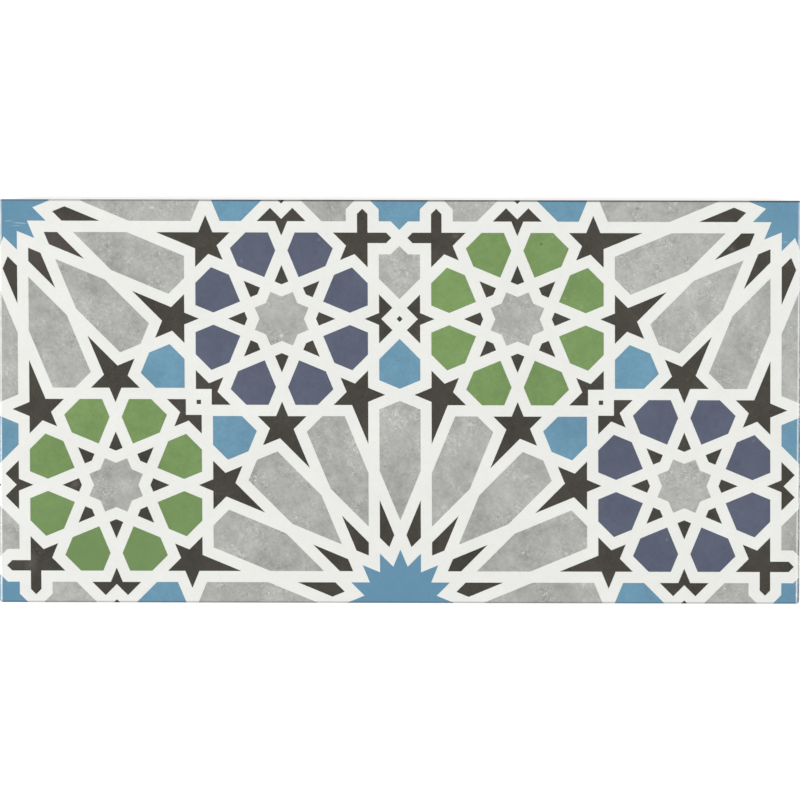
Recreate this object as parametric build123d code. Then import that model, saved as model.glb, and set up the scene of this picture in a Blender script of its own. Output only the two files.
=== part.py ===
from build123d import *
from math import radians, tan
import os

# A dust-pressed, glazed wall tile in the nominal 300 by 150 format, in millimetres.
# It is pressed and fired as one piece, so it is one solid. It lies face up on the ribs of its keyed back.
# Origin: the middle of the back, in the plane of the rib tops. +X runs along the long side, +Z out of the face.

# Work size
tile_length = 298.0
tile_width = 150.0
tile_thickness = 8.0

# Glazed edges: small upright corners, and a face that rounds over into the sides
corner_radius = 1.2
cushion_radius = 0.8

# Die bevel: below this height the sides lean in, so that the pressed tile leaves its die
bevel_height = 3.0
bevel_inset = 0.5

# Keyed back: shallow draughted pockets between ribs, inside a plain border
key_border = 12.0
key_rows = 5
key_depth = 0.8
key_draft_angle = 30.0
key_floor_radius = 2.0
rib_width = 3.0


def pressed_body():
    """The slab as the die shapes it: upright sides, a cushioned face edge and a bevelled back edge."""
    with BuildPart() as body:
        with BuildSketch():
            RectangleRounded(tile_length, tile_width, corner_radius)
        extrude(amount=tile_thickness)
        face_edges = body.faces().sort_by(Axis.Z)[-1].edges()
        fillet(face_edges, cushion_radius)
        back = body.faces().sort_by(Axis.Z)[0]
        chamfer(back.edges(), bevel_inset, bevel_height, reference=back)
    return body.part


def key_pockets():
    """The punch's pads: a grid that fills the field inside the border with nearly square pockets."""
    field_length = tile_length - 2 * key_border
    field_width = tile_width - 2 * key_border
    pitch_across = (field_width + rib_width) / key_rows
    # An even number of columns, so that a rib crosses the back at mid-length
    key_columns = 2 * round((field_length + rib_width) / (2 * pitch_across))
    pitch_along = (field_length + rib_width) / key_columns
    wall_run = key_depth * tan(radians(key_draft_angle))
    with BuildPart() as pockets:
        with BuildSketch():
            with GridLocations(pitch_along, pitch_across, key_columns, key_rows):
                RectangleRounded(
                    pitch_along - rib_width,
                    pitch_across - rib_width,
                    key_floor_radius + wall_run,
                )
        extrude(amount=key_depth, taper=key_draft_angle)
    return pockets.part


tile = pressed_body() - key_pockets()
tile.label = "tile"

os.makedirs("parts", exist_ok=True)
export_step(tile, "parts/tile.step")

print("tile", tile.bounding_box().size, "volume", round(tile.volume), "mm3")
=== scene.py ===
# %% [markdown]
# A printed wall tile.
# The real thing is one slab of pressed clay, fired with a white glaze and printed with a
# traditional net of stars and rosettes. The slab comes from the CAD model and stays as it is.
# Blender adds what a printer and a kiln would add: five colours of ink on the face, the glaze,
# and the bare clay of the sides and the back.

# %% Load the pressed slab
from math import cos, radians, sin, sqrt

import bmesh
import bpy
import numpy as np
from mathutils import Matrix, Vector


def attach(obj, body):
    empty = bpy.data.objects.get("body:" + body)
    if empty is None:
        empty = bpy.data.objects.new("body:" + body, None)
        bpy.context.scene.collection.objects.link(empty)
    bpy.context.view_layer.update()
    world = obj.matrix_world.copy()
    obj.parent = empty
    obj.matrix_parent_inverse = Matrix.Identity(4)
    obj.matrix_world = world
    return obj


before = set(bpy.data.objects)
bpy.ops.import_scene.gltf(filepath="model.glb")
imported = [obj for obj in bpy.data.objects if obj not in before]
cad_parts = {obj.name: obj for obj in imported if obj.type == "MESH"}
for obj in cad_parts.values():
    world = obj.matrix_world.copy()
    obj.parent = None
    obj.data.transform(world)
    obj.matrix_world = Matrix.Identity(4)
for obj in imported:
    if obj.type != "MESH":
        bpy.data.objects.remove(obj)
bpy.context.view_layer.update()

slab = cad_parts["tile"]
mm = 0.001

# %% [markdown]
# The ink has to follow the slab, so the slab is measured first. Its face ends in a cushion edge,
# a small rounding, and its four corners are rounded too. Both radii could be typed in again,
# but reading them from the mesh keeps the print right when the slab changes.

# %% Measure the face, its cushion edge and its corners
touch = 0.001 * mm
points = np.empty(3 * len(slab.data.vertices), np.float32)
slab.data.vertices.foreach_get("co", points)
points = points.reshape(-1, 3).astype(float)
face_z = points[:, 2].max()
half_size = points[:, :2].max(axis=0)
flat_half = points[points[:, 2] > face_z - touch, :2].max(axis=0)
cushion_radius = (half_size - flat_half).mean()
right_side = points[points[:, 0] > half_size[0] - touch]
corner_radius = half_size[1] - right_side[:, 1].max()
print("cushion", round(cushion_radius / mm, 3), "mm, corner", round(corner_radius / mm, 3), "mm")

# %% [markdown]
# Every patch of colour is bounded by straight white straps of one width. A pattern maker draws
# such a net from a few circles: a sixteen-pointed star in the middle of one long edge, four
# eight-petalled rosettes round it, and a square star opposite. All places follow from the
# repeat, a hair longer than the tile, and from five small sizes. A patch could be traced point
# by point, but as a ring of lines it needs only an angle and a distance for each edge.

# %% The sizes of the net
repeat = 298.9 * mm
strap_width = 4.18 * mm
star_line = 9.7 * mm
cross_arm = 3.87 * mm
diamond_side = 0.8 * mm
diamond_strap = 4.02 * mm

half_strap = strap_width / 2
rosette_inset = repeat * (1 - sqrt(0.5)) / 2
rosette_reach = repeat * sqrt(0.125)
rosette_line = rosette_inset - star_line
rosette_gap = sqrt(2) * rosette_inset
ring_line = rosette_reach - rosette_line
arm_line = star_line + strap_width + cross_arm
star_near, star_far = star_line - half_strap, star_line + half_strap
ring_near, ring_far = ring_line - half_strap, ring_line + half_strap
rosette_near, rosette_far = rosette_line - half_strap, rosette_line + half_strap
square_near = rosette_gap - rosette_far
print("repeat", round(repeat / mm, 1), "mm, rosette line", round(rosette_line / mm, 2), "mm")

# %% [markdown]
# The print was laid down a fraction of a millimetre too low. The net is symmetrical about the tile's
# upright middle line, so the centres come in mirrored pairs, and only their colours are swapped.

# %% The centres of the stars and rosettes
print_drop = 0.12 * mm
low, high = -repeat / 4 - print_drop, repeat / 4 - print_drop
star_centres = [(0, low), (-repeat / 2, high), (repeat / 2, high)]
square_centres = [(0, high), (-repeat / 2, low), (repeat / 2, low)]
indigo_rosettes = [(-rosette_inset, low + rosette_reach), (rosette_reach, low + rosette_inset)]
green_rosettes = [(rosette_inset, low + rosette_reach), (-rosette_reach, low + rosette_inset)]
rosettes = indigo_rosettes + green_rosettes
square_ways = [45, 315, 135, 225]
sixteen_ways = np.arange(16) * 22.5
eight_ways = np.arange(8) * 45.0
four_ways = np.arange(4) * 90.0
print(len(star_centres), "stars,", len(rosettes), "rosettes,", len(square_centres), "squares")

# %% [markdown]
# Two straight edges that follow each other meet in a corner. Solving for that crossing turns a list of
# lines into an outline, and turning and moving the outline gives all its copies in one array. An array
# modifier could copy a mesh as well, but the copies have to be cut at the tile's edge together.

# %% Corners of a patch from the lines of its edges
def copies(centres, axes, edges):
    """Every copy of one patch, as an array of copies by corners by two.

    An edge is the line x cos t + y sin t = d, with t its angle from the patch's axis and d its
    distance from the centre. A corner is where an edge and the next one, with angle u and distance
    e, cross: x = (d sin u - e sin t) / sin(u - t), y = (e cos t - d cos u) / sin(u - t).
    The corners are turned to each axis and moved to each centre.
    """
    degrees, d = np.array(edges, float).T
    t = np.radians(degrees)
    u, e = np.roll(t, -1), np.roll(d, -1)
    x = (d * np.sin(u) - e * np.sin(t)) / np.sin(u - t)
    y = (e * np.cos(t) - d * np.cos(u)) / np.sin(u - t)
    if np.sum(x * np.roll(y, -1) - y * np.roll(x, -1)) < 0:
        x, y = x[::-1], y[::-1]
    axis = np.radians(np.array(axes, float))[:, None]
    turned = np.stack((x * np.cos(axis) - y * np.sin(axis), x * np.sin(axis) + y * np.cos(axis)), axis=-1)
    return (np.array(centres, float)[:, None, None] + turned).reshape(-1, len(edges), 2)


unit_square = copies([(0, 0)], [0], [(way, 1) for way in four_ways])
print("four lines at distance 1 have the corners", unit_square[0].round(3).tolist())

# %% [markdown]
# Round the sixteen-pointed star lie darts, long petals, five-pointed stars and hexagons. The straps
# that close the petals form a ring, and a rosette's outer line sets its distance. One tip of each
# five-pointed star follows a strap of the rosette beside it instead, which lies 0.4 mm nearer. It is
# on the left of one star and on the right of the next, so these stars are of two kinds.

# %% Patches round the sixteen-pointed star
def five_star(left_tip, right_tip):
    """Ten edges in five pairs: two pairs on straps of the star, and the rest on the ring or a rosette."""
    return [
        (-78.75, star_far), (-11.25, ring_far), (33.75, ring_near), (-78.75, star_far), (-33.75, left_tip),
        (33.75, right_tip), (78.75, star_far), (-33.75, ring_near), (11.25, ring_far), (78.75, star_far),
    ]


rosette_tip = repeat * sin(radians(22.5)) * sqrt(0.5) - star_far
long_petal = [
    (-67.5, star_far), (90, star_near), (22.5, ring_near),
    (-22.5, ring_near), (-90, star_near), (67.5, star_far),
]
sixteen_star = [(way + side * 67.5, star_near) for way in sixteen_ways for side in (-1, 1)]
dart = [(-56.25, star_far), (78.75, star_near), (-78.75, star_near), (56.25, star_far)]
hexagon = [
    (-45, ring_near), (45, ring_near), (90, star_near),
    (-22.5, ring_far), (22.5, ring_far), (-90, star_near),
]
sixteen_stars = copies(star_centres, [0], sixteen_star)
darts = copies(star_centres, sixteen_ways + 11.25, dart)
long_petals = copies(star_centres, sixteen_ways, long_petal)
five_stars = [
    copies(star_centres, eight_ways + 11.25, five_star(rosette_tip, ring_near)),
    copies(star_centres, eight_ways + 33.75, five_star(ring_near, rosette_tip)),
]
hexagons = copies(star_centres, eight_ways, hexagon)
print(len(long_petals), "long petals,", len(hexagons), "hexagons")

# %% [markdown]
# A rosette has an eight-pointed star in its middle, kites between the star's points and eight
# petals. Between two rosettes lie two chevrons and a small diamond, with a strap of its own width
# round it. The chevrons stand on the three sides of a rosette where another rosette is, which are
# set by the way to its square star.

# %% Patches of the rosettes
petal = [
    (-45, star_far), (90, star_near), (22.5, rosette_near),
    (-22.5, rosette_near), (-90, star_near), (45, star_far),
]
kite = [(-22.5, star_far), (67.5, star_near), (-67.5, star_near), (22.5, star_far)]
eight_star = [(way + 22.5 + side * 45, star_near) for way in eight_ways for side in (-1, 1)]
chevron_back = diamond_side + diamond_strap - rosette_gap / 2
chevron = [
    (-67.5, star_far), (0, rosette_far), (45, rosette_near), (135, chevron_back),
    (225, chevron_back), (-45, rosette_near), (0, rosette_far), (67.5, star_far),
]
diamond = [(way + 45, diamond_side) for way in four_ways]
eight_stars = copies(rosettes, [0], eight_star)
kites = copies(rosettes, eight_ways, kite)
indigo_petals = copies(indigo_rosettes, eight_ways + 22.5, petal)
green_petals = copies(green_rosettes, eight_ways + 22.5, petal)
chevrons = [
    copies([centre], [way - 45, way + 45, way + 180], chevron)
    for centre, way in zip(rosettes, square_ways)
]
upright_centres = [(0, low + rosette_reach), (-rosette_reach, low), (rosette_reach, low)]
upright_centres += [(side * rosette_inset, high) for side in (-1, 1)]
upright_centres += [(side * repeat / 2, low + rosette_inset) for side in (-1, 1)]
leaning_centres = [(side * repeat / 4, -print_drop) for side in (-1, 1)]
diamonds = [copies(upright_centres, [0], diamond), copies(leaning_centres, [45], diamond)]
print(len(kites), "kites,", len(indigo_petals) + len(green_petals), "petals")

# %% [markdown]
# The square star is a square with a small point on each side, so each quarter of it is four lines. Round
# it lie four shields of cement grey and four charcoal crosses, each half a cross and half a star. The
# star half of a cross belongs to the net of the rosette beside it, so its lines are counted from there.

# %% Patches round the square star
def past_rosette(degrees, distance):
    """A line at a distance from the rosette, as its distance from the square star beside it."""
    return degrees, distance + rosette_inset * (cos(radians(degrees)) + sin(radians(degrees)))


square_star = [
    edge for way in four_ways
    for edge in ((way, star_near), (way - 45, star_near), (way + 45, star_near), (way, star_near))
]
shield = [
    (-45, star_far), (0, arm_line + half_strap), (90, star_near), (45, square_near),
    (-45, square_near), (-90, star_near), (0, arm_line + half_strap), (45, star_far),
]
cross = [
    (90, star_far), (45, star_far), (-45, -star_near), (90, arm_line - half_strap),
    (0, star_far), (45, square_near), past_rosette(292.5, star_far), past_rosette(157.5, star_far),
    (45, square_near), (90, star_far), (0, arm_line - half_strap), (-45, star_near),
    (45, star_far), (0, star_far),
]
square_stars = copies(square_centres, [0], square_star)
shields = copies(square_centres, four_ways, shield)
crosses = copies(square_centres, four_ways, cross)
print(len(shields), "shields,", len(crosses), "crosses")

# %% [markdown]
# On the real tile the ink is a film far thinner than a hair that runs over the cushion edge and
# stops short of the sides. Each colour becomes one thin closed sheet. The patches could be painted
# in a material, but edges cut in geometry stay sharp at any size. First, planes trim the flat sheet
# and crease it along the cushion, so that it can bend there.

# %% Trim and crease a flat sheet
print_end = 78
crease_step = 6
crease_angles = np.radians(np.arange(print_end, -1, -crease_step))
inner_corner = corner_radius - cushion_radius
creases = np.append(cushion_radius * np.sin(crease_angles), -inner_corner)


def trim_and_crease(mesh):
    """Cuts a sheet in millimetres along lines parallel to its sides, and drops what lies past the last.

    The faces then become triangles, which keep their shape when they bend.
    """
    sheet = bmesh.new()
    sheet.from_mesh(mesh)
    for axis, side in ((0, -1), (0, 1), (1, -1), (1, 1)):
        way = np.zeros(3)
        way[axis] = side
        for crease in creases:
            everything = sheet.verts[:] + sheet.edges[:] + sheet.faces[:]
            at = way * (flat_half[axis] + crease) / mm
            bmesh.ops.bisect_plane(
                sheet, geom=everything, dist=touch / 10 / mm, plane_co=at, plane_no=way,
                clear_outer=crease == creases[0],
            )
    bmesh.ops.triangulate(sheet, faces=sheet.faces[:])
    sheet.to_mesh(mesh)
    sheet.free()


print(len(creases), "creases along each side")

# %% [markdown]
# Then every point of the sheet goes down onto the cushion by the formula of a circle. Cloth simulation
# could drape it, but the cushion's shape is known, and the formula lands on it exactly. The sheet is too
# wide for the rounded corners, so a few slivers fold over there and are taken out.

# %% Bend a sheet over the cushion edge
film = 0.03 * mm
steepest = 0.1


def bend_over_cushion(flat):
    """Places flat points on the face and its cushion edge.

    The distance past the flat of the face is t. It is the distance from a rectangle that ends at the
    corners' centres, less the corner's radius inside the cushion. Past the print's end a point is
    drawn back towards that rectangle. Its height is that of a circle of the cushion's radius r and
    the film's height f: z = face - r + sqrt((r + f)^2 - t^2).
    """
    core = np.clip(flat, corner_radius - half_size, half_size - corner_radius)
    past = flat - core
    reach = np.linalg.norm(past, axis=1)
    most = inner_corner + creases[0]
    scale = np.minimum(1, most / np.maximum(reach, most))
    t = np.clip(reach * scale - inner_corner, 0, None)
    z = face_z - cushion_radius + np.sqrt((cushion_radius + film) ** 2 - t**2)
    return np.column_stack((core + past * scale[:, None], z))


def drop_folded(mesh):
    """Takes out the slivers that fold over where the sheet is drawn back at a corner."""
    normals = np.empty(3 * len(mesh.polygons), np.float32)
    mesh.polygons.foreach_get("normal", normals)
    sheet = bmesh.new()
    sheet.from_mesh(mesh)
    sheet.faces.ensure_lookup_table()
    folded = [sheet.faces[i] for i in np.flatnonzero(normals.reshape(-1, 3)[:, 2] < steepest)]
    bmesh.ops.delete(sheet, geom=folded, context="FACES")
    bmesh.ops.dissolve_degenerate(sheet, edges=sheet.edges[:], dist=touch)
    sheet.to_mesh(mesh)
    sheet.free()
    return len(folded)


last_point = bend_over_cushion(half_size[None] * (1, 0))[0]
print("the print ends", round((face_z - last_point[2]) / mm, 2), "mm below the face")

# %% [markdown]
# All patches of one colour are printed at once, so they share one mesh. The whole print leans by a third
# of a degree, as if the tile had lain askew under the printer. Solidify thickens the bent sheet
# downwards, a little into the glaze, which leaves no gap under the film.

# %% A printed sheet
print_lean = -0.0058
film_body = 0.05 * mm


def printed_sheet(name, groups):
    """One colour's patches as one closed film, trimmed, bent over the edge and given a thickness."""
    corners = np.concatenate([group.reshape(-1, 2) for group in groups])
    corners[:, 0] += print_lean * corners[:, 1]
    counts = np.concatenate([np.full(len(group), group.shape[1]) for group in groups])
    faces = np.split(np.arange(len(corners)), np.cumsum(counts)[:-1])
    mesh = bpy.data.meshes.new(name)
    flat = np.column_stack((corners / mm, np.zeros(len(corners))))
    mesh.from_pydata(flat.tolist(), [], [face.tolist() for face in faces])
    trim_and_crease(mesh)
    places = np.empty(3 * len(mesh.vertices), np.float32)
    mesh.vertices.foreach_get("co", places)
    bent = bend_over_cushion(places.reshape(-1, 3)[:, :2].astype(float) * mm)
    mesh.vertices.foreach_set("co", bent.astype(np.float32).ravel())
    mesh.update()
    folded = drop_folded(mesh)
    piece = bpy.data.objects.new(name, mesh)
    bpy.context.scene.collection.objects.link(piece)
    thicken = piece.modifiers.new("film", "SOLIDIFY")
    thicken.thickness = film_body
    thicken.offset = -1
    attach(piece, "root")
    print(name, len(mesh.polygons), "faces,", folded, "folded ones dropped")
    return piece


print("film", round(film_body / mm, 2), "mm thick,", round(film / mm, 2), "mm of it proud of the face")

# %% [markdown]
# A printer sets one colour after another. Sky, indigo and green are plain inks, grey imitates cement and
# charcoal fills the small shapes between. One object for each keeps their materials apart.

# %% The five printed colours
sky_print = printed_sheet("sky_print", [sixteen_stars, hexagons, square_stars])
indigo_print = printed_sheet("indigo_print", [indigo_petals])
green_print = printed_sheet("green_print", [green_petals])
grey_print = printed_sheet("grey_print", [long_petals, eight_stars, shields])
charcoal_print = printed_sheet(
    "charcoal_print", [darts, *five_stars, kites, *chevrons, *diamonds, crosses]
)

# %% [markdown]
# The inks are matt colours under a satin surface. Each is written as it looks on the tile, in the
# everyday scale of 0 to 255, and turned into the linear light that shaders count in. A short helper
# places a node and sets or links its sockets, so that each material below reads as a list.

# %% Helpers for colours and nodes
def ink(red, green, blue):
    """Linear light of a screen colour: ((c + 0.055) / 1.055) to the power 2.4, or c / 12.92 if dark."""
    c = np.array((red, green, blue)) / 255
    linear = np.where(c > 0.04045, ((c + 0.055) / 1.055) ** 2.4, c / 12.92)
    return (*linear.tolist(), 1.0)


def place(tree, kind, inputs=None, **options):
    """Adds a node. Options are its own settings; inputs are sockets, given a value or a socket to link."""
    node = tree.nodes.new(kind)
    for option, value in options.items():
        setattr(node, option, value)
    for socket, value in (inputs or {}).items():
        if isinstance(value, bpy.types.NodeSocket):
            tree.links.new(value, node.inputs[socket])
        else:
            node.inputs[socket].default_value = value
    return node


def work_out(tree, operation, first, second):
    """The result of one sum on two values or sockets."""
    return place(tree, "ShaderNodeMath", {0: first, 1: second}, operation=operation).outputs[0]


def blend_colours(tree, share, first, second):
    """Two colours mixed: none of the second at a share of 0, all of it at 1."""
    return place(tree, "ShaderNodeMix", {0: share, 6: first, 7: second}, data_type="RGBA").outputs[2]


def new_material(name):
    """A material with one Principled shader, and its node tree."""
    material = bpy.data.materials.new(name)
    material.use_nodes = True
    tree = material.node_tree
    tree.nodes.clear()
    shader = place(tree, "ShaderNodeBsdfPrincipled")
    place(tree, "ShaderNodeOutputMaterial", {"Surface": shader.outputs["BSDF"]})
    return material, tree, shader


print("a grey of 128 is", round(ink(128, 128, 128)[0], 3), "in linear light")

# %% [markdown]
# Looked at closely, every ink is a little uneven: broad clouds where the film is thicker, and the fine
# flecks of the print. It is also made a little darker towards the lower edge and lighter towards the
# upper one. The grey is printed to look like cement, so its mottling is strong and nearly as rough at a
# third of a millimetre as at a centimetre. One node group does this for all the inks. Noise of nearly
# equal strength at every scale is what a roughness close to 1 gives. Even grain would look like film grain,
# so a second noise makes the flecks strong in some patches and weak in others. Object coordinates keep it
# all at its real size.

# %% A node group for the unevenness of an ink
cloud_size = 26 * mm
grain_size = 0.9 * mm
patch_size = 7 * mm
patch_swing = 9.0
speck_from = 0.1
noise_turn = (radians(35), radians(20), radians(50))


def sockets(tree, way, kind, *names):
    """Gives a node group inputs or outputs of one kind."""
    for name in names:
        tree.interface.new_socket(name, in_out=way, socket_type=kind)


def turned_spot(tree):
    """Object coordinates, turned so that no row of lumps in the noise runs along the tile."""
    spot = place(tree, "ShaderNodeTexCoord").outputs["Object"]
    return place(tree, "ShaderNodeMapping", {"Vector": spot, "Rotation": noise_turn}).outputs[0]


def noise(tree, spot, size, detail, roughness, swirl=0.0):
    """Noise about zero, from -0.5 to 0.5, whose largest lumps have a size in metres.

    Detail is how often finer lumps are added, each half as large, roughness is how strong each is next
    to the one before, and swirl bends the lumps into streaks.
    """
    inputs = {"Vector": spot, "Scale": 1 / size, "Detail": detail, "Roughness": roughness}
    inputs["Distortion"] = swirl
    return work_out(tree, "SUBTRACT", place(tree, "ShaderNodeTexNoise", inputs).outputs["Fac"], 0.5)


def build_mottle():
    """Colour times a tone of 1 + cloud noise + grain noise + specks + a slope, each by its strength.

    The grain is swirled noise times 1 + patch noise, never under 0. Specks are what rises over a
    level in the grain. The slope is the distance up the face, in half widths.
    """
    tree = bpy.data.node_groups.new("ink mottle", "ShaderNodeTree")
    sockets(tree, "INPUT", "NodeSocketColor", "Colour")
    sockets(tree, "INPUT", "NodeSocketFloat", "Cloud", "Grain", "Speck", "Tone Slope")
    sockets(tree, "OUTPUT", "NodeSocketColor", "Colour")
    given = place(tree, "NodeGroupInput").outputs
    spot = turned_spot(tree)
    straight = place(tree, "ShaderNodeTexCoord").outputs["Object"]
    up = place(tree, "ShaderNodeSeparateXYZ", {"Vector": straight}).outputs["Y"]
    clouds = noise(tree, spot, cloud_size, detail=5.0, roughness=0.9)
    grains = noise(tree, spot, grain_size, detail=2.0, roughness=0.8, swirl=1.2)
    patches = noise(tree, spot, patch_size, detail=2.0, roughness=0.6)
    patches = work_out(tree, "ADD", work_out(tree, "MULTIPLY", patches, patch_swing), 1.0)
    grains = work_out(tree, "MULTIPLY", grains, work_out(tree, "MAXIMUM", patches, 0.0))
    specks = work_out(tree, "MAXIMUM", work_out(tree, "SUBTRACT", grains, speck_from), 0.0)
    cloud = work_out(tree, "MULTIPLY", clouds, given["Cloud"])
    grain = work_out(tree, "MULTIPLY", grains, given["Grain"])
    speck = work_out(tree, "MULTIPLY", specks, given["Speck"])
    slope = work_out(tree, "MULTIPLY", work_out(tree, "DIVIDE", up, half_size[1]), given["Tone Slope"])
    fine = work_out(tree, "ADD", grain, speck)
    broad = work_out(tree, "ADD", cloud, slope)
    tone = work_out(tree, "ADD", work_out(tree, "ADD", fine, broad), 1.0)
    toned = place(tree, "ShaderNodeVectorMath", {0: given["Colour"], "Scale": tone}, operation="SCALE")
    place(tree, "NodeGroupOutput", {"Colour": toned.outputs[0]})
    return tree


mottle = build_mottle()
print("group", mottle.name)

# %% [markdown]
# Ink and glaze were fired together and share a satin skin. It is never quite flat: a faint ripple, like
# orange peel, runs through it, and its gloss varies. Real geometry that fine would take millions of
# faces, so it is a bump, and a second group gives its height and the roughness.

# %% A node group for the satin skin
ripple_size = 3.5 * mm
ripple_height = 0.004 * mm
gloss_size = 20 * mm


def build_skin():
    """Height is ripple noise; roughness is its mean times 1 + gloss noise."""
    tree = bpy.data.node_groups.new("satin skin", "ShaderNodeTree")
    sockets(tree, "INPUT", "NodeSocketFloat", "Roughness")
    sockets(tree, "OUTPUT", "NodeSocketFloat", "Roughness", "Height")
    given = place(tree, "NodeGroupInput").outputs
    spot = turned_spot(tree)
    ripple = noise(tree, spot, ripple_size, detail=2.0, roughness=0.5)
    uneven = work_out(tree, "ADD", noise(tree, spot, gloss_size, detail=4.0, roughness=0.7), 1.0)
    rough = work_out(tree, "MULTIPLY", uneven, given["Roughness"])
    place(tree, "NodeGroupOutput", {"Roughness": rough, "Height": ripple})
    return tree


skin = build_skin()
print("group", skin.name)

# %% [markdown]
# A thin dark line runs along the upper, lower and right rim: painted shade on the rounding. It
# is strongest on the upper edge, where it fades towards the left end. Along the two short edges a
# white line is painted just inside the rounding, a painted highlight over the lamps' own. Pointiness
# could find the rim by itself, but the slab's triangles are too large for that, so a third group
# works out both masks from the place on the tile.

# %% A node group for painted shade and a painted highlight on the rim
# Painted shade: how dark the rounding of the upper, lower and right edges is made.
upper_shade, lower_shade, right_shade = 0.8, 0.4, 0.75
shade_fade = (-90 * mm, -50 * mm)
shade_least = 0.45
shade_below = 0.5 * mm
wide_rim = (0.85 * mm, 0.4 * mm)
narrow_rim = (0.75 * mm, 0.45 * mm)
# Painted highlight: a white line painted just inside the rounding of the two short edges.
inset_left, inset_right = 0.85 * mm, 1.05 * mm
highlight_half = 0.4 * mm
left_highlight_strength, right_highlight_strength = 1.2, 1.0
highlight_patch, highlight_cover = 5 * mm, 0.75


def rim_band(tree, value, edge, rim, strength):
    """Grows from 0 to a strength between two distances from an edge, which may be a negative one."""
    start, full = (edge - np.sign(edge) * distance for distance in rim)
    inputs = {"Value": value, "From Min": start, "From Max": full, "To Max": strength}
    return place(tree, "ShaderNodeMapRange", inputs).outputs[0]


def ridge(tree, value, middle, strength):
    """The strength at a middle value, falling to 0 within the painted highlight's half width on both sides.
    """
    away = work_out(tree, "SUBTRACT", value, middle)
    away = place(tree, "ShaderNodeMath", {0: away}, operation="ABSOLUTE").outputs[0]
    inputs = {"Value": away, "From Min": highlight_half, "From Max": 0.0, "To Max": strength}
    return place(tree, "ShaderNodeMapRange", inputs).outputs[0]


def build_rim():
    """Two masks from the place on the tile.

    Painted shade is the strongest of three bands, and fades below the rounding. The painted
    highlight is the stronger of two ridges, times patchy noise.
    """
    tree = bpy.data.node_groups.new("rim painted shade and highlight", "ShaderNodeTree")
    sockets(tree, "OUTPUT", "NodeSocketFloat", "Painted Shade", "Painted Highlight")
    spot = place(tree, "ShaderNodeTexCoord").outputs["Object"]
    axes = place(tree, "ShaderNodeSeparateXYZ", {"Vector": spot}).outputs
    fade = {"Value": axes["X"], "From Min": shade_fade[0], "From Max": shade_fade[1]}
    fade.update({"To Min": upper_shade * shade_least, "To Max": upper_shade})
    upper = place(tree, "ShaderNodeMapRange", fade).outputs[0]
    up = rim_band(tree, axes["Y"], half_size[1], wide_rim, upper)
    down = rim_band(tree, axes["Y"], -half_size[1], wide_rim, lower_shade)
    right = rim_band(tree, axes["X"], half_size[0], narrow_rim, right_shade)
    painted_shade = work_out(tree, "MAXIMUM", work_out(tree, "MAXIMUM", up, down), right)
    foot = face_z - cushion_radius
    height = {"Value": axes["Z"], "From Min": foot - shade_below, "From Max": foot}
    painted_shade = work_out(tree, "MULTIPLY", painted_shade, place(tree, "ShaderNodeMapRange", height).outputs[0])
    left_highlight = ridge(tree, axes["X"], inset_left - half_size[0], left_highlight_strength)
    right_highlight = ridge(tree, axes["X"], half_size[0] - inset_right, right_highlight_strength)
    patchy = noise(tree, turned_spot(tree), highlight_patch, detail=3.0, roughness=0.7)
    patchy = work_out(tree, "ADD", patchy, highlight_cover)
    painted_highlight = work_out(tree, "MULTIPLY", work_out(tree, "MAXIMUM", left_highlight, right_highlight), patchy)
    place(tree, "NodeGroupOutput", {"Painted Shade": painted_shade, "Painted Highlight": painted_highlight})
    return tree


rim = build_rim()
print("group", rim.name)

# %% [markdown]
# The tile has picked up a few marks: scratches in one star, dust on a cross, specks and a pit in the
# petals. Besides, the sky and the green are a shade deeper towards the corners and along the lower edge.
# Each of these is a soft oval, broken up by noise, that shifts the ink's colour. A sphere-shaped gradient
# gives the oval, since a Mapping node can move, turn and stretch it to any place.

# %% Soft ovals on an ink
mark_break, mark_cover = 0.7 * mm, 0.7


def oval(tree, spot, centre, size, turn):
    """Mask of a soft oval: 1 less the distance from the centre in half sizes, never under 0."""
    where = (centre[0] * mm, centre[1] * mm, face_z)
    half = (size[0] * mm / 2, size[1] * mm / 2, 1)
    inputs = {"Vector": spot, "Location": where, "Rotation": (0, 0, radians(turn)), "Scale": half}
    moved = place(tree, "ShaderNodeMapping", inputs, vector_type="TEXTURE").outputs[0]
    return place(tree, "ShaderNodeTexGradient", {"Vector": moved}, gradient_type="SPHERICAL").outputs["Fac"]


def marked(tree, colour, marks):
    """The colour with each mark's tint laid over it, by its oval, its noise and its strength."""
    spot = place(tree, "ShaderNodeTexCoord").outputs["Object"]
    lumps = noise(tree, turned_spot(tree), mark_break, detail=2.0, roughness=0.6)
    lumps = work_out(tree, "ADD", lumps, mark_cover)
    for centre, size, turn, tint, strength in marks:
        soft = work_out(tree, "MULTIPLY", oval(tree, spot, centre, size, turn), lumps)
        share = place(tree, "ShaderNodeMath", {0: soft, 1: strength}, operation="MULTIPLY", use_clamp=True)
        colour = blend_colours(tree, share.outputs[0], colour, tint)
    return colour


print("marks are broken up by lumps of", round(mark_break / mm, 1), "mm")
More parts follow.
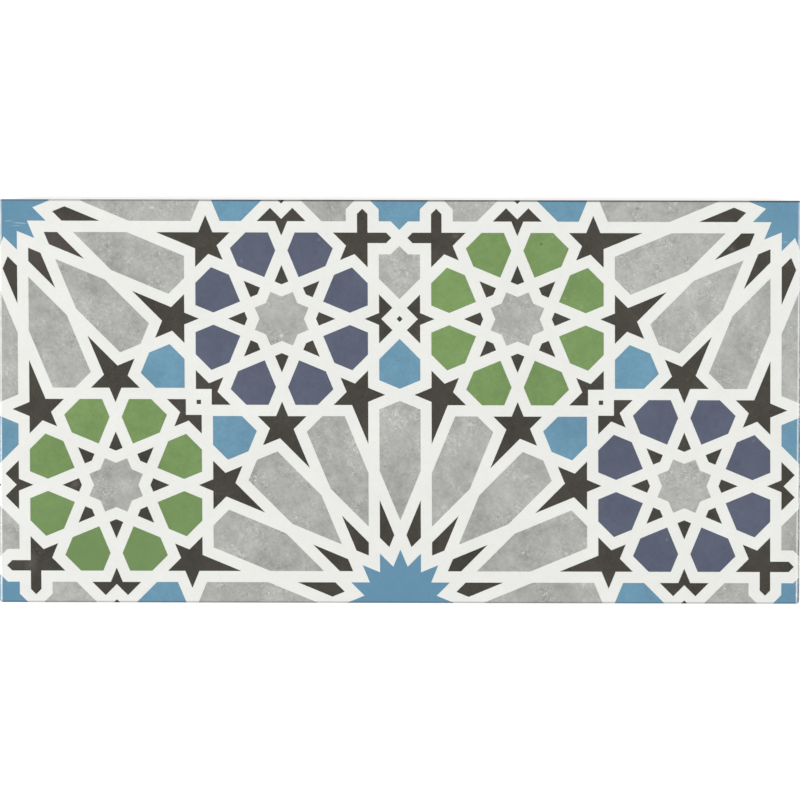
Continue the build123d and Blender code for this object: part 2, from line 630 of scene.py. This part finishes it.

# %% [markdown]
# Real wear has no formula, so the marks are given as a list. Each has its centre and size in
# millimetres, its turn in degrees, a tint and a strength. The broad deep patches come first, because a
# later mark lies over an earlier one.

# %% Where the marks are
scratched, bare_glaze = ink(172, 196, 210), ink(236, 237, 232)
dusty, dusky = ink(122, 116, 112), ink(96, 86, 88)
green_speck, green_pit = ink(160, 180, 140), ink(70, 90, 56)
indigo_speck = ink(132, 139, 155)
deep_sky, deep_green = ink(101, 144, 171), ink(113, 141, 91)
pale_speck, dark_speck, rusty = ink(222, 223, 219), ink(126, 126, 123), ink(190, 164, 156)
sky_marks = [
    # Broad ovals that make the sky a shade deeper towards the corners and along the lower edge.
    ((0.0, -75.0), (130.0, 80.0), 0, deep_sky, 1.4),
    ((-149.0, 75.0), (70.0, 70.0), 0, deep_sky, 1.3),
    ((-149.0, -75.0), (60.0, 60.0), 0, deep_sky, 1.5),
    ((149.0, 75.0), (70.0, 70.0), 0, deep_sky, 0.7),
    ((149.0, -75.0), (60.0, 60.0), 0, deep_sky, 0.7),
    ((-141.0, 66.1), (7.5, 0.7), -4, scratched, 1.2),
    ((-145.3, 66.9), (4.0, 0.6), 5, scratched, 1.0),
    ((-142.5, 65.1), (6.0, 0.5), 2, scratched, 0.8),
    ((142.9, 59.6), (3.0, 0.8), 0, scratched, 0.8),
    ((147.9, -71.5), (0.7, 2.4), 0, bare_glaze, 2.0),
    ((147.8, -67.4), (0.6, 3.4), 0, bare_glaze, 1.0),
]
charcoal_marks = [
    ((-137.1, -60.4), (11.0, 6.0), 80, dusty, 0.4),
    ((-131.0, 58.0), (44.0, 36.0), 0, dusky, 0.7),
    ((-120.7, -30.9), (5.0, 3.0), 30, dusty, 0.6),
    ((20.5, 61.5), (4.0, 2.5), 0, dusty, 0.6),
    ((122.9, 57.0), (5.0, 3.0), 150, dusty, 0.6),
]
green_marks = [
    ((-112.0, -60.0), (130.0, 80.0), 0, deep_green, 1.2),
    ((56.5, 61.5), (2.0, 1.4), 20, green_speck, 0.7),
    ((67.4, 35.4), (1.6, 2.4), 0, green_speck, 0.7),
    ((61.1, 23.8), (1.8, 1.3), 50, green_speck, 0.6),
    ((61.1, 38.7), (2.2, 1.4), 0, green_speck, 0.7),
    ((61.1, 57.0), (1.4, 1.8), 0, green_speck, 0.6),
    ((52.3, 58.7), (1.5, 1.3), 0, green_pit, 1.4),
]
indigo_marks = [
    ((-30.2, 60.0), (2.0, 1.4), 0, indigo_speck, 0.6),
    ((-58.9, 52.2), (1.6, 2.2), 0, indigo_speck, 0.6),
    ((131.5, -14.2), (2.0, 1.5), 40, indigo_speck, 0.6),
    ((99.5, -51.0), (1.5, 2.0), 0, indigo_speck, 0.6),
]
grey_marks = [
    ((-44.0, 24.6), (2.2, 1.8), 0, pale_speck, 1.2),
    ((-92.0, 71.9), (2.4, 1.6), 0, pale_speck, 1.2),
    ((87.9, 71.9), (2.2, 1.6), 0, dark_speck, 1.2),
    ((137.8, -58.9), (8.0, 6.0), 20, rusty, 0.8),
]
mark_lists = [sky_marks, charcoal_marks, green_marks, indigo_marks, grey_marks]
print(sum(len(marks) for marks in mark_lists), "marks")

# %% [markdown]
# Every ink is then the same few steps: its colour through the mottle, the marks over it, painted
# highlight and painted shade on the rim, all on a satin shader. The shader itself stays in each material,
# and the groups only hand it colours and values.

# %% The steps of an ink
satin = 0.15
# Every ink is made 3% darker at the lower edge and 3% lighter at the upper one.
ink_tone_slope = 0.03
# A near black for the painted shade on the rim, and a white for the painted highlight.
painted_shade_colour, highlight_white = ink(40, 38, 38), ink(247, 248, 246)


def mottled(tree, colour, cloud, grain, speck, tone_slope):
    """A colour through the mottle group."""
    uneven = place(tree, "ShaderNodeGroup", node_tree=mottle)
    uneven.inputs["Colour"].default_value = colour
    uneven.inputs["Cloud"].default_value = cloud
    uneven.inputs["Grain"].default_value = grain
    uneven.inputs["Speck"].default_value = speck
    uneven.inputs["Tone Slope"].default_value = tone_slope
    return uneven.outputs["Colour"]


def rimmed(tree, colour):
    """A colour with the rim's painted highlight and painted shade over it."""
    masks = place(tree, "ShaderNodeGroup", node_tree=rim).outputs
    # The painted highlight goes on first, and the painted shade over it.
    colour = blend_colours(tree, masks["Painted Highlight"], colour, highlight_white)
    return blend_colours(tree, masks["Painted Shade"], colour, painted_shade_colour)


def ink_material(name, colour, cloud, grain, speck, marks):
    """A printed ink: mottled colour, marks, and painted highlight and shade on the rim, on a satin shader
    with a faint ripple.
    """
    material, tree, shader = new_material(name)
    printed = marked(tree, mottled(tree, colour, cloud, grain, speck, ink_tone_slope), marks)
    tree.links.new(rimmed(tree, printed), shader.inputs["Base Color"])
    surface = place(tree, "ShaderNodeGroup", node_tree=skin)
    surface.inputs["Roughness"].default_value = satin
    tree.links.new(surface.outputs["Roughness"], shader.inputs["Roughness"])
    bump = place(tree, "ShaderNodeBump", {"Height": surface.outputs["Height"], "Distance": ripple_height})
    tree.links.new(bump.outputs[0], shader.inputs["Normal"])
    return material


print("mean roughness of the satin", satin)

# %% [markdown]
# What differs from ink to ink is the colour and how uneven it is. The blues and the green are nearly
# even, the grey has strong clouds and pale specks like cement, and the charcoal lies between.

# %% The five inks
inks = {
    sky_print: ink_material(
        "sky ink", ink(110, 153, 177), cloud=0.7, grain=0.2, speck=0.0, marks=sky_marks),
    indigo_print: ink_material(
        "indigo ink", ink(93, 99, 117), cloud=0.7, grain=0.25, speck=0.0, marks=indigo_marks),
    green_print: ink_material(
        "green ink", ink(122, 151, 95), cloud=0.8, grain=0.2, speck=0.0, marks=green_marks),
    grey_print: ink_material(
        "cement grey ink", ink(176, 177, 173), cloud=1.43, grain=0.54, speck=0.7, marks=grey_marks),
    charcoal_print: ink_material(
        "charcoal ink", ink(73, 70, 64), cloud=1.1, grain=0.5, speck=0.3, marks=charcoal_marks),
}
for piece, material in inks.items():
    piece.data.materials.append(material)
print(len(inks), "inks")

# %% [markdown]
# The slab itself shows in three places: as the white straps of the face, as a band of glaze round the
# sides, and as bare fired clay below it and on the back. The glaze was poured before firing, so its
# lower edge wanders. Height in the Object coordinates, shifted by noise, tells glaze from clay.

# %% Glaze and clay of the slab
glaze_depth, glaze_fade = 2.6 * mm, 0.2 * mm
wander_size, wander_height = 9 * mm, 4.0 * mm
clay_roughness = 0.85
crumb_size, crumb_height = 0.8 * mm, 0.05 * mm


def slab_material():
    """White satin glaze above an uneven line round the sides, grainy buff clay below it."""
    material, tree, shader = new_material("glazed clay")
    spot = place(tree, "ShaderNodeTexCoord").outputs["Object"]
    height = place(tree, "ShaderNodeSeparateXYZ", {"Vector": spot}).outputs["Z"]
    wander = noise(tree, spot, wander_size, detail=3.0, roughness=0.6)
    wander = work_out(tree, "MULTIPLY", wander, wander_height)
    line = face_z - glaze_depth
    span = {"Value": work_out(tree, "ADD", height, wander), "From Min": line, "From Max": line + glaze_fade}
    glazed = place(tree, "ShaderNodeMapRange", span).outputs[0]
    white = mottled(tree, ink(237, 238, 233), cloud=0.16, grain=0.06, speck=0.0, tone_slope=0.01)
    # The white straps get the same painted highlight and painted shade on the rim.
    white = rimmed(tree, white)
    clay = mottled(tree, ink(206, 191, 172), cloud=0.7, grain=0.7, speck=0.0, tone_slope=0.0)
    tree.links.new(blend_colours(tree, glazed, clay, white), shader.inputs["Base Color"])
    surface = place(tree, "ShaderNodeGroup", node_tree=skin)
    surface.inputs["Roughness"].default_value = satin
    mixed = {"Factor": glazed, 2: clay_roughness, 3: surface.outputs["Roughness"]}
    tree.links.new(place(tree, "ShaderNodeMix", mixed).outputs[0], shader.inputs["Roughness"])
    ripple = work_out(tree, "MULTIPLY", surface.outputs["Height"], ripple_height)
    crumbs = noise(tree, spot, crumb_size, detail=3.0, roughness=0.7)
    crumbs = work_out(tree, "MULTIPLY", crumbs, crumb_height)
    relief = place(tree, "ShaderNodeMix", {"Factor": glazed, 2: crumbs, 3: ripple}).outputs[0]
    bump = place(tree, "ShaderNodeBump", {"Height": relief, "Distance": 1.0})
    tree.links.new(bump.outputs[0], shader.inputs["Normal"])
    return material


slab.data.materials.clear()
slab.data.materials.append(slab_material())
print("glaze reaches", round(glaze_depth / mm, 1), "mm down the sides")

# %% [markdown]
# The tile lies face up on a white table and is seen from straight above, as in a product picture. The
# table curves up into a low wall, so that it is white from every side. It is white to the camera
# without more light on the tile: its material adds a plain glow for camera, mirror and glass rays
# only, over a pale surface that still takes the tile's shadow.

# %% White table with a low wall
table_radius = 2.2
table_bend = 0.3
wall_top = 0.6
table_glow = 0.5
round_steps, bend_steps = 96, 10


def white_table():
    """A profile turned once round the vertical axis.

    The profile leaves the flat disc, runs through a quarter circle of the bend's radius and up the wall:
    radius = table radius + bend sin q, height = bend (1 - cos q), for q from 0 to a quarter turn.
    """
    q = np.radians(np.linspace(0, 90, bend_steps))
    radius = np.append(table_radius + table_bend * np.sin(q), table_radius + table_bend)
    height = np.append(table_bend * (1 - np.cos(q)), wall_top)
    turn = np.arange(round_steps) * 2 * np.pi / round_steps
    x, y = np.outer(radius, np.cos(turn)), np.outer(radius, np.sin(turn))
    rings = np.stack((x, y, np.outer(height, np.ones(round_steps))), axis=-1)
    index = np.arange(rings.shape[0] * round_steps).reshape(-1, round_steps)
    beside = np.roll(index, -1, axis=1)
    walls = np.stack((index[:-1], beside[:-1], beside[1:], index[1:]), axis=-1)[:, :, ::-1].reshape(-1, 4)
    mesh = bpy.data.meshes.new("table")
    mesh.from_pydata(rings.reshape(-1, 3).tolist(), [], [index[0].tolist()] + walls.tolist())
    table = bpy.data.objects.new("table", mesh)
    bpy.context.scene.collection.objects.link(table)
    return table


def table_material():
    """Pale matt surface, plus a glow that only camera, glossy and transmission rays see."""
    material = bpy.data.materials.new("white table")
    material.use_nodes = True
    tree = material.node_tree
    tree.nodes.clear()
    rays = place(tree, "ShaderNodeLightPath").outputs
    shown = work_out(tree, "MAXIMUM", rays["Is Camera Ray"], rays["Is Glossy Ray"])
    shown = work_out(tree, "MAXIMUM", shown, rays["Is Transmission Ray"])
    paper = place(tree, "ShaderNodeBsdfDiffuse", {"Color": ink(210, 210, 210)})
    glow = place(tree, "ShaderNodeEmission", {"Strength": work_out(tree, "MULTIPLY", shown, table_glow)})
    both = place(tree, "ShaderNodeAddShader", {0: paper.outputs[0], 1: glow.outputs[0]})
    place(tree, "ShaderNodeOutputMaterial", {"Surface": both.outputs[0]})
    return material


table = white_table()
table.data.materials.append(table_material())
print("table", round(2 * table_radius, 1), "m across")

# %% [markdown]
# Flat things are photographed between two low lamps, left and right, so that the face lights evenly and
# mirrors nothing into the camera. The left lamp is the stronger one. Both are long and narrow, which
# draws a fine highlight along the rounding of the short edges.

# %% Two lamps and a dim room
room_light = 0.1
left_power = 59.5
right_power = 47.0
lamp_side = 2.1
lamp_height = 1.3
lamp_back = -0.1
lamp_size = (0.9, 0.25)

world = bpy.data.worlds.new("studio")
world.use_nodes = True
world.node_tree.nodes["Background"].inputs["Color"].default_value = (1, 1, 1, 1)
world.node_tree.nodes["Background"].inputs["Strength"].default_value = room_light
bpy.context.scene.world = world


def soft_lamp(name, side, power):
    """A long lamp on one side, turned towards the middle of the face."""
    lamp = bpy.data.lights.new(name, "AREA")
    lamp.shape = "RECTANGLE"
    lamp.size, lamp.size_y = lamp_size
    lamp.energy = power
    holder = bpy.data.objects.new(name, lamp)
    holder.location = (side * lamp_side, lamp_back, lamp_height)
    aim = Vector((0, 0, face_z)) - holder.location
    holder.rotation_euler = aim.to_track_quat("-Z", "Y").to_euler()
    bpy.context.scene.collection.objects.link(holder)
    print(name, power, "W at", round(aim.length, 2), "m")
    return holder


soft_lamp("left lamp", -1, left_power)
soft_lamp("right lamp", 1, right_power)

# %% [markdown]
# The camera hangs above the middle of the tile and leans a little over a degree, so the upper edge looks
# slightly longer than the lower one. A long lens keeps it at a distance where the sides stay hidden.

# %% Camera above the face
camera_height = 742.97 * mm
camera_shift_up = 20.1 * mm
camera_tilt = radians(-1.4918)
camera_roll = radians(0.1216)
view = bpy.data.cameras.new("camera")
view.lens = 90
view.sensor_width = 36
camera = bpy.data.objects.new("camera", view)
camera.location = (0, camera_shift_up, face_z + camera_height)
camera.rotation_euler = (camera_tilt, 0, camera_roll)
bpy.context.scene.collection.objects.link(camera)
bpy.context.scene.camera = camera
bpy.context.scene.view_settings.view_transform = "Standard"
print("camera", [round(part, 4) for part in camera.location])
